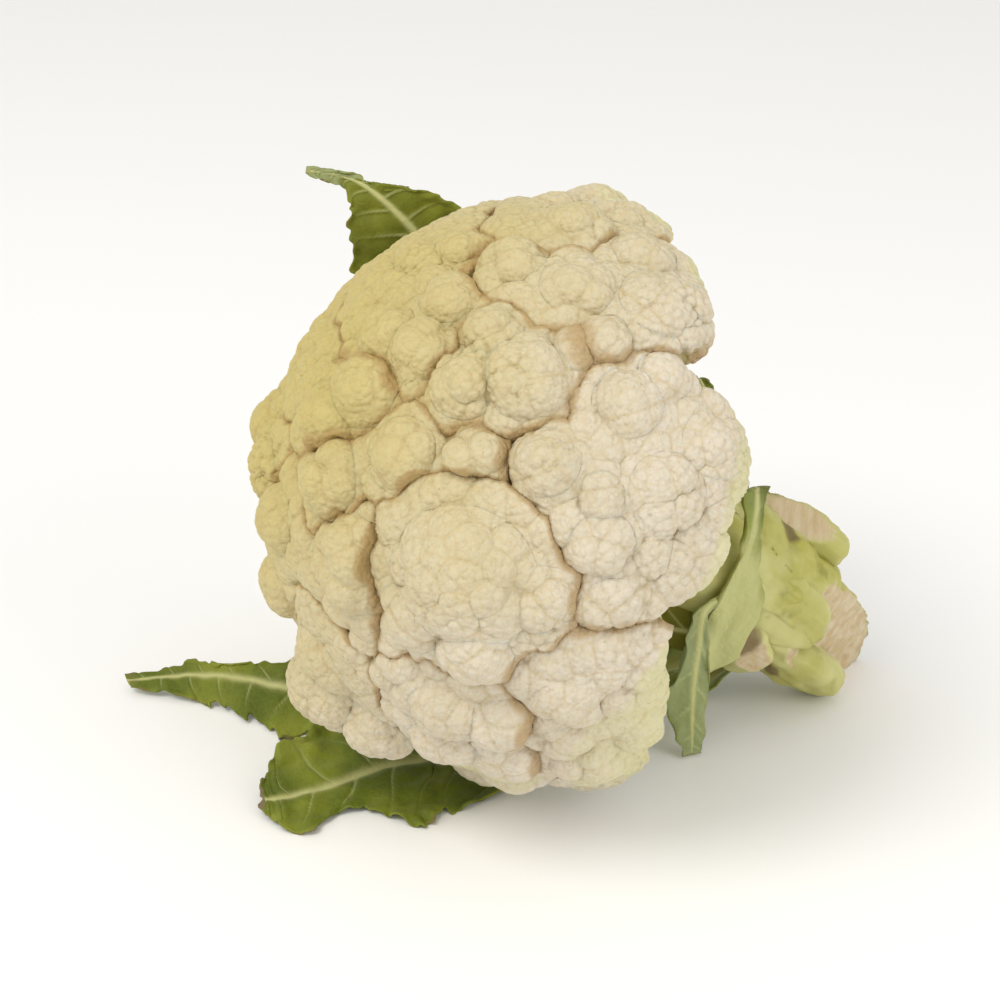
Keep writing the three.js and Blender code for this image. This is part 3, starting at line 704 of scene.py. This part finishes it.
LEAVES = {
    "leaf_front": dict(
        rib=[(64, 36, -67), (42, 25, -79.5), (12, 12, -84.5), (-29, -7, -84.2), (-39, -8, -83.6),
             (-52, -14, -83.3), (-65, -24, -83.3), (-78, -31, -83), (-82, -32, -83.5),
             (-84, -31, -84)],
        near=[(63, 31, -69), (43, 20, -81.5), (14, 5, -86), (-21, -30, -86), (-33, -36, -85.8),
              (-40, -42, -85.6), (-57, -32, -85.5), (-70, -45, -86), (-80, -40, -85.5),
              (-84, -32, -85)],
        far=[(66, 41, -67), (43, 30, -79.5), (12, 22, -85), (-28, 22, -85), (-47, 22, -82.5),
             (-61, 18, -81), (-73, 6, -79.5), (-81, -7, -80), (-84, -20, -82), (-85, -29, -84)],
        thick=0.7, rib_wide=3.2, rib_high=2.4, veins=10, ruffle=1.7, torn=0.06, side=1,
        dry_tip=0.9),
    "leaf_left": dict(
        rib=[(74, 46, -66), (46, 44, -79), (5, 38, -84), (-35, 29, -83.5), (-70, 24, -80),
             (-97, 32, -79), (-115, 37, -81), (-133, 38, -83.5)],
        near=[(72, 40, -69), (44, 33, -82), (4, 28, -86), (-38, 21, -86), (-74, 8, -86),
              (-92, 16, -86), (-108, 28, -85.5), (-131, 35, -84.5)],
        far=[(78, 52, -64), (50, 56, -76), (5, 54, -80), (-38, 46, -78), (-72, 34, -73),
             (-93, 34, -75), (-114, 40, -79), (-134, 41, -83)],
        thick=0.7, rib_wide=2.8, rib_high=2.0, veins=13, ruffle=1.3, torn=0.11, side=1),
    "leaf_back": dict(
        rib=[(61, 53, -46), (50, 70, -33), (30, 90, -8), (5, 96, 20), (-22, 88, 36),
             (-37, 80, 46), (-46, 78, 56), (-55, 79, 64), (-62, 80, 67.5), (-69, 80, 69.3),
             (-74.5, 79, 69.9)],
        near=[(57, 55, -51), (40, 76, -43), (10, 96, -20), (-28, 91, 5), (-50, 76, 22),
              (-60, 72, 35), (-62, 73, 49), (-60.5, 75, 58.5), (-62.5, 79, 63.5),
              (-68, 79, 66.2), (-74.2, 79, 69)],
        far=[(66, 50, -42), (60, 64, -23), (44, 82, 10), (26, 86, 38), (0, 82, 49),
             (-17, 80, 55.7), (-28, 78, 58.6), (-38.5, 78, 64.6), (-51, 79, 63.2),
             (-61, 80, 69.3), (-74.1, 79, 70.8)],
        thick=0.7, rib_wide=1.9, rib_high=1.4, veins=13, ruffle=1.2, torn=0.07, side=-1,
        olive=0.3, wax_tip=0.9),
    "leaf_hanging": dict(
        rib=[(50, 5, -37), (44, 1, -39), (42.7, 0, -48.5), (41.5, -1, -65), (41.5, -2, -78),
             (41.6, -2, -86)],
        near=[(48, 4, -38), (41, 0, -39.5), (37, -2, -51), (32.5, -3, -65), (36.5, -3, -78),
              (38, -3, -86)],
        far=[(52, 5, -37), (45.7, 1, -40.4), (45.6, 0, -48.5), (46, 0, -65), (46, -1, -80),
             (45, -2, -86)],
        thick=0.6, rib_wide=1.3, rib_high=0.9, veins=6, ruffle=0.9, torn=0.20, side=1, waxy=0.85),
    "leaf_side": dict(
        rib=[(48, 4, -61.5), (50.8, 4, -46), (55, 5, -30), (58, 6, -16), (58.5, 8, -3)],
        near=[(44.8, 2, -61), (45.5, 2, -43), (52, 3, -28), (55.4, 5, -15.5), (53.6, 7, -3.6)],
        far=[(56, 6, -57), (62, 8, -43), (60.6, 8, -29.5), (60.4, 7, -16.5), (62.6, 9, -3)],
        thick=1.6, rib_wide=3.4, rib_high=1.4, veins=4, ruffle=0.6, torn=0.07, side=1,
        fleshy=0.85, waxy=0.35),
    "leaf_inner": dict(
        rib=[(57, 36, -17), (54, 38, -4), (48, 36, 10), (43, 32, 21)],
        near=[(53, 31, -15), (49, 33, -3), (44, 33, 10), (41, 31, 20)],
        far=[(60, 41, -18), (57, 42, -4), (51, 39, 10), (45, 33, 21)],
        thick=0.7, rib_wide=1.6, rib_high=0.7, veins=4, ruffle=0.8, torn=0.1, side=1),
    "leaf_under": dict(
        rib=[(52, 13, -51), (44, 10, -51), (35.4, 8, -49), (29, 8, -47)],
        near=[(51, 13, -55), (44, 9, -57.5), (36.8, 8, -56.2), (30, 8, -51.5)],
        far=[(52, 13, -44), (43.5, 10, -40.5), (35, 9, -39.3), (28, 10, -41)],
        thick=0.9, rib_wide=1.2, rib_high=0.5, veins=3, ruffle=0.4, torn=0.03, side=1, olive=0.9),
}

LEAF_GREEN = (0.095, 0.125, 0.010)
LEAF_LIGHT = (0.23, 0.26, 0.028)
LEAF_WAX = (0.31, 0.35, 0.17)
LEAF_OLIVE = (0.17, 0.155, 0.014)
RIB_PALE = (0.48, 0.50, 0.23)
DRY_BROWN = (0.20, 0.15, 0.08)

blade = Look(
    "leaf", Specular_IOR_Level=0.3, Subsurface_Weight=0.08, Subsurface_Scale=0.002, IOR=1.4
)
mesh_veins = blade.cells(420.0, "DISTANCE_TO_EDGE")
fine_veins = 1.0 - mesh_veins.ramp(0.02, 0.10)
tint = blade.mix(blade.noise(38.0, 4.0).ramp(0.35, 0.7), LEAF_GREEN, LEAF_LIGHT)
tint = blade.mix(fine_veins * 0.15, tint, LEAF_LIGHT)
tint = blade.mix(blade.mark("olive"), tint, LEAF_OLIVE)
waxen = (blade.mark("wax") + blade.noise(70.0, 3.0) - 0.5).ramp(0.1, 0.9)
tint = blade.mix(waxen * 0.8, tint, LEAF_WAX)
tint = blade.mix(blade.mark("vein").ramp(0.3, 1.0) * 0.5, tint, RIB_PALE)
tint = blade.mix(blade.mark("rib"), tint, blade.mix(blade.noise(160.0), RIB_PALE, FLESH_PALE))
tint = blade.mix(blade.mark("edge") * 0.5, tint, LEAF_LIGHT)
dried = (blade.mark("dry") + (blade.noise(240.0, 4.0) - 0.5) * 0.9).ramp(0.35, 0.7)
tint = blade.mix(dried * 0.9, tint, DRY_BROWN)
blade.to("Base Color", tint)
blade.to("Roughness", blade.noise(90.0) * 0.2 + 0.48)
blade.height(mesh_veins.ramp(0.0, 0.3), 0.0002, 0.4)
blade.height(blade.noise(900.0, 3.0), 0.00012, 0.5)


def smooth_line(places, shares):
    """A Catmull-Rom curve through places: on each stretch a cubic whose slopes at its ends are half
    the step between the neighbours."""
    places = np.asarray(places, float)
    ends = np.vstack([2 * places[0] - places[1], places, 2 * places[-1] - places[-2]])
    stretch = np.clip(shares, 0, 1) * (len(places) - 1)
    first = np.minimum(stretch.astype(int), len(places) - 2)
    t = (stretch - first)[..., None]
    before, start, end, after = (ends[first + k] for k in range(4))
    return start + 0.5 * t * (
        end - before
        + t * (2 * before - 5 * start + 4 * end - after + t * (3 * (start - end) + after - before))
    )


def leaf_piece(name, rib, near, far, thick, rib_wide, rib_high, veins, ruffle, torn, side,
               fleshy=0.0, waxy=0.0, olive=0.0, dry_tip=0.4, wax_tip=0.0):
    """A leaf over its midrib and two margins.

    Across the blade a point is the rib, plus half the step between the margins times v, plus how
    far the margins' middle lies off the rib times v^2, for v from -1 to 1. The side veins leave
    the rib at a slant. The blade puffs up between them and waves towards its margin.
    """
    rng = np.random.default_rng(len(name) * 7 + veins)
    long = np.linalg.norm(np.diff(np.array(rib, float), axis=0), axis=1).sum()
    wide = max(np.linalg.norm(np.subtract(n, f)) for n, f in zip(near, far))
    rows, columns = int(np.clip(long / 0.9, 50, 300)), int(np.clip(wide / 0.8, 26, 90))
    t, v = np.meshgrid(np.linspace(0, 1, rows), np.linspace(-1, 1, columns), indexing="ij")
    along = np.linspace(0, 1, rows) * long
    edge_wave = [
        sum(np.sin(along / size + rng.uniform(0, 7)) * weight for size, weight in
            ((9.0, 0.7), (4.1, 0.6), (2.0, 0.45), (1.1, 0.3))) for _ in range(2)
    ]
    ragged = np.where(v < 0, edge_wave[0][:, None], edge_wave[1][:, None]) * torn * np.abs(v) ** 3
    v = v * (1 + ragged - torn * 0.6 * np.abs(v) ** 3)
    middle, low, high = (smooth_line(line, t) for line in (rib, near, far))
    points = middle + (high - low) * v[..., None] / 2
    points += ((low + high) / 2 - middle) * (v**2)[..., None]
    step_t, step_v = np.gradient(points, axis=0), np.gradient(points, axis=1)
    normals = unit(np.cross(step_t, step_v)) * side
    half = np.linalg.norm(high - low, axis=-1) / 2
    off = v * half
    taper = np.clip(1.15 - t, 0.12, 1)
    ribbed = np.exp(-((off / (rib_wide * taper)) ** 2))
    slant = t * long - np.abs(off) * 0.75
    sided = np.where(v < 0, 0.0, 0.5)
    sway = ripples(points.reshape(-1, 3), 24, rng).reshape(t.shape)
    bow = slant / long * veins + sided + 0.13 * sway
    from_vein = np.abs(bow - np.round(bow)) * long / veins
    veined = np.exp(-((from_vein / 0.95) ** 2)) * (1 - 0.75 * np.abs(v) ** 2) * (1 - ribbed)
    puff = np.sin(np.pi * (bow - np.floor(bow))) ** 2 * (1 - ribbed) * (1 - np.abs(v) ** 3)
    flat = points.reshape(-1, 3)
    crinkle = (ripples(flat, 13, rng) + 0.5 * ripples(flat, 6, rng)).reshape(t.shape)
    frill = np.abs(v) ** 4 * np.sin(slant / 3.1 + crinkle * 2)
    fade = smoothstep(0.0, 0.12, t)
    height = (
        ribbed * rib_high * taper
        + veined * 0.55
        + puff * 0.55 * fade
        + (crinkle * (0.25 + 0.4 * np.abs(v)) + frill * ruffle * 0.6) * fade
    )
    points = points + normals * height[..., None]
    points[..., 2] = np.maximum(points[..., 2], 0.15 + thick / 2 - CURD_RADIUS)
    edge = smoothstep(0.90, 1.0, np.abs(v))
    marks = {
        "rib": np.clip(ribbed * 1.2, 0, 1) * 0.9,
        "vein": veined,
        "edge": edge,
        "dry": np.clip(
            smoothstep(0.955, 1.0, np.abs(v)) * 0.45 + smoothstep(0.9, 1.0, t) * dry_tip, 0, 1
        ),
        "wax": waxy + wax_tip * smoothstep(0.76, 0.86, t),
        "olive": olive + 0 * t,
    }
    if fleshy:
        marks["rib"] = np.maximum(marks["rib"], smoothstep(fleshy, fleshy - 0.3, t) * 0.9)
    index = np.arange(rows * columns).reshape(rows, columns)
    a, b, c, d = index[:-1, :-1], index[1:, :-1], index[1:, 1:], index[:-1, 1:]
    faces = np.stack([a, b, c, d] if side > 0 else [a, d, c, b], -1).reshape(-1, 4)
    piece = skin_object(
        "green_" + name, points.reshape(-1, 3), faces, blade.material,
        {mark: values.ravel() for mark, values in marks.items()},
    )
    solid = piece.modifiers.new("thickness", "SOLIDIFY")
    solid.thickness = thick / 1000
    solid.offset = 0.0
    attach(piece, "root")
    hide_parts(name)


for name, leaf in LEAVES.items():
    leaf_piece(name, **leaf)

# ---------------------------------------------------------------- floor
# A plain, nearly white table top that the head and its lowest leaf lie on. It is one flat sheet,
# well wider than the view.

paper = Look("floor", Roughness=0.6)
paper.shader.inputs["Base Color"].default_value = (0.93, 0.93, 0.93, 1.0)
floor_mesh = bpy.data.meshes.new("floor")
floor_mesh.from_pydata([(-8, -8, 0), (8, -8, 0), (8, 8, 0), (-8, 8, 0)], [], [(0, 1, 2, 3)])
floor_mesh.materials.append(paper.material)
floor = bpy.data.objects.new("floor", floor_mesh)
bpy.context.scene.collection.objects.link(floor)

# ---------------------------------------------------------------- light
# Two large round soft lamps, a warm key from the left and a weaker fill from the right, in a
# white room that lights every side.

LAMPS = {  # place in metres, size in metres, power in watts, colour
    "key": ((-0.9, -0.7, 1.5), 1.0, 16.0, (1.0, 0.97, 0.90)),
    "fill": ((1.3, -1.0, 0.8), 1.2, 9.0, (1.0, 0.98, 0.96)),
}
for name, (place, size, power, colour) in LAMPS.items():
    lamp_data = bpy.data.lights.new(name, "AREA")
    lamp_data.shape = "DISK"
    lamp_data.size = size
    lamp_data.energy = power
    lamp_data.color = colour
    lamp = bpy.data.objects.new(name, lamp_data)
    lamp.location = place
    towards = np.array([0.0, 0.0, 0.08]) - np.array(place)
    lean = np.arctan2(np.hypot(towards[0], towards[1]), -towards[2])
    lamp.rotation_euler = (lean, 0.0, np.arctan2(-towards[0], towards[1]))
    bpy.context.scene.collection.objects.link(lamp)

room = bpy.data.worlds.new("room")
room.use_nodes = True
room.node_tree.nodes["Background"].inputs["Color"].default_value = (1.0, 0.99, 0.97, 1.0)
room.node_tree.nodes["Background"].inputs["Strength"].default_value = 0.75
bpy.context.scene.world = room
bpy.context.scene.view_settings.view_transform = "Standard"
